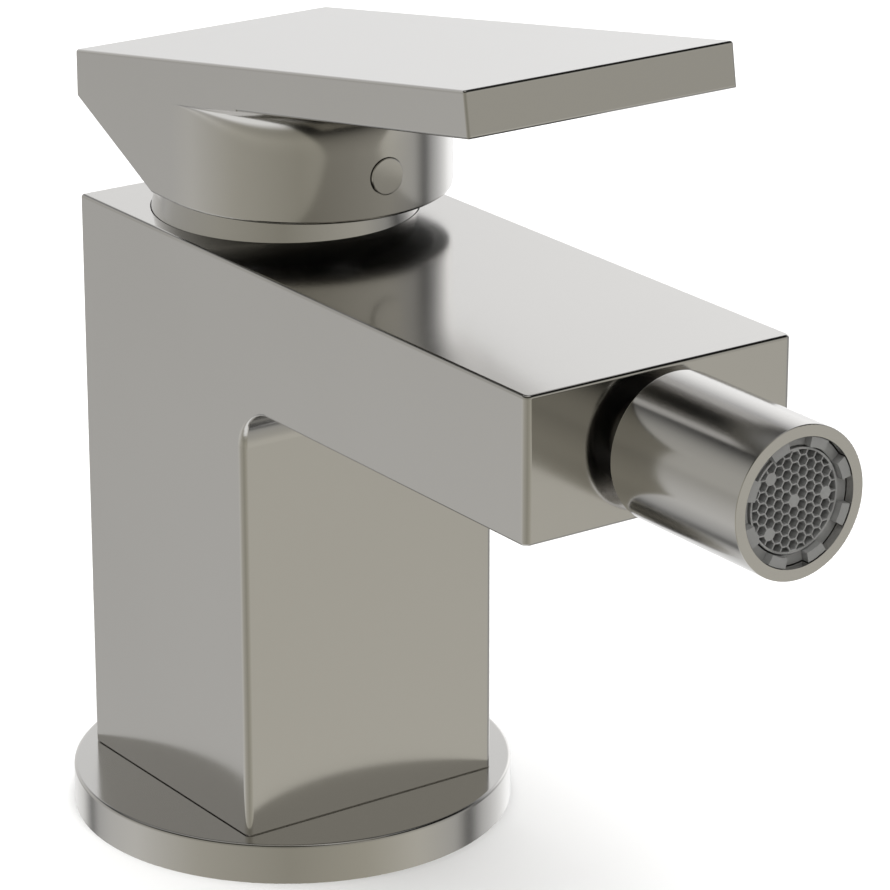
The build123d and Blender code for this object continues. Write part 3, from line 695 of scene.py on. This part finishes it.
def ramp(tree, value, stops):
    """A colour ramp with its stops, each a position and a colour."""
    made = add(tree, "ShaderNodeValToRGB", _Fac=value)
    while len(made.color_ramp.elements) < len(stops):
        made.color_ramp.elements.new(1.0)
    for element, (position, tone) in zip(made.color_ramp.elements, stops):
        element.position = position
        element.color = (*tone, 1)
    return made.outputs["Color"]


def wall_stops(table, level):
    """Ramp stops of the walls, over a turn from back to front to back."""
    return [(azimuth / 360 + 0.5, (level * tone * (1 + WARM_RED * warm), level * tone,
                                   level * tone * (1 - WARM_BLUE * warm))) for azimuth, tone, warm in table]


def ceiling_stops(table):
    """Ramp stops of a ceiling, from right below to right above."""
    return [(math.sin(math.radians(elevation)) / 2 + 0.5, (tone,) * 3) for elevation, tone in table]


def walls(look):
    """The studio that the metal mirrors: a pale back wall, a dimmer and warmer front, narrow dark strips at the
    sides, a ceiling with a dark strip that is wider at the front, and a pale ground below on the left."""
    world = bpy.context.scene.world or bpy.data.worlds.new("Studio")
    bpy.context.scene.world = world
    world.use_nodes = True
    tree = world.node_tree
    tree.nodes.clear()
    x, y, z = axes(tree, add(tree, "ShaderNodeTexCoord").outputs["Generated"])
    azimuth = calc(tree, "ARCTAN2", x, calc(tree, "MULTIPLY", y, -1.0))
    turn = spread(tree, azimuth, -math.pi, math.pi)
    sides = mix(tree, "RGBA", spread(tree, z, *LOWER_TO_UPPER_Z),
                ramp(tree, turn, wall_stops(LOWER_WALLS, look.walls)),
                ramp(tree, turn, wall_stops(UPPER_WALLS, look.walls)))
    height = spread(tree, z, -1.0, 1.0)
    from_front = calc(tree, "ABSOLUTE", calc(tree, "SUBTRACT", turn, 0.5))
    ceiling = mix(tree, "RGBA", spread(tree, from_front, *FRONT_TO_BACK_TURN),
                  ramp(tree, height, ceiling_stops(FRONT_CEILING)),
                  ramp(tree, height, ceiling_stops(BACK_CEILING)))
    room = mix(tree, "RGBA", 1.0, sides, ceiling, "MULTIPLY")
    ground = calc(tree, "MULTIPLY", spread(tree, z, *TO_GROUND_Z), spread(tree, x, *TO_GROUND_X))
    light = add(tree, "ShaderNodeBackground", _Color=mix(tree, "RGBA", ground, room, (*look.ground, 1)))
    add(tree, "ShaderNodeOutputWorld", _Surface=light.outputs["Background"])


def camera_piece(look, aim):
    """The camera at the photograph's viewing angle."""
    data = bpy.data.cameras.new("Camera")
    data.lens = look.lens
    data.sensor_width = look.sensor
    data.clip_start, data.clip_end = 0.01, 50
    made = bpy.data.objects.new("Camera", data)
    bpy.context.scene.collection.objects.link(made)
    made.location = away(aim, look.distance, look.azimuth, look.elevation)
    made.rotation_euler = (math.pi / 2 - look.elevation, 0, look.azimuth)
    bpy.context.scene.camera = made


class MIXER_OT_stage(Operator):
    """Floor, walls, lamps and the camera"""
    bl_idname = "mixer.stage"
    bl_label = "Studio"

    def execute(self, context):
        look = context.scene.mixer_studio
        aim = Vector(look.aim)
        floor_piece(look)
        walls(look)
        for name, power, width, distance, azimuth, elevation in LAMPS:
            place = away(aim, distance, math.radians(azimuth), math.radians(elevation))
            lamp(name, getattr(look, power), width, place, aim)
        camera_piece(look, aim)
        context.scene.view_settings.view_transform = "Standard"
        return {"FINISHED"}


class MIXER_PT_panel(Panel):
    """Lists the mixer's finishes, threads and studio"""
    bl_idname = "MIXER_PT_panel"
    bl_label = "Bidet mixer"
    bl_space_type = "VIEW_3D"
    bl_region_type = "UI"
    bl_category = "Mixer"

    def draw(self, context):
        for operator in OPERATORS:
            self.layout.operator(operator.bl_idname)
        for name in SETTINGS:
            box = self.layout.box()
            owner = getattr(context.scene, name)
            for key in owner.bl_rna.properties.keys():
                if key not in ("rna_type", "name"):
                    box.prop(owner, key)


SETTINGS = {"mixer_metal": MetalFinish, "mixer_lever": LeverForm, "mixer_moulded": MouldedFinish,
            "mixer_threads": ThreadSizes, "mixer_studio": Studio}
OPERATORS = (MIXER_OT_plated_metal, MIXER_OT_lever_metal, MIXER_OT_bare_metal, MIXER_OT_cartridge,
             MIXER_OT_nozzle_inside, MIXER_OT_seals, MIXER_OT_threads, MIXER_OT_stage)


def register():
    for kind in (*SETTINGS.values(), *OPERATORS, MIXER_PT_panel):
        bpy.utils.register_class(kind)
    for name, kind in SETTINGS.items():
        setattr(bpy.types.Scene, name, PointerProperty(type=kind))


def unregister():
    for name in SETTINGS:
        delattr(bpy.types.Scene, name)
    for kind in reversed((*SETTINGS.values(), *OPERATORS, MIXER_PT_panel)):
        bpy.utils.unregister_class(kind)


def main():
    register()
    bpy.ops.mixer.plated_metal()
    bpy.ops.mixer.lever_metal()
    bpy.ops.mixer.bare_metal()
    bpy.ops.mixer.cartridge()
    bpy.ops.mixer.nozzle_inside()
    bpy.ops.mixer.seals()
    bpy.ops.mixer.threads()
    bpy.ops.mixer.stage()


if __name__ == "__main__":
    main()
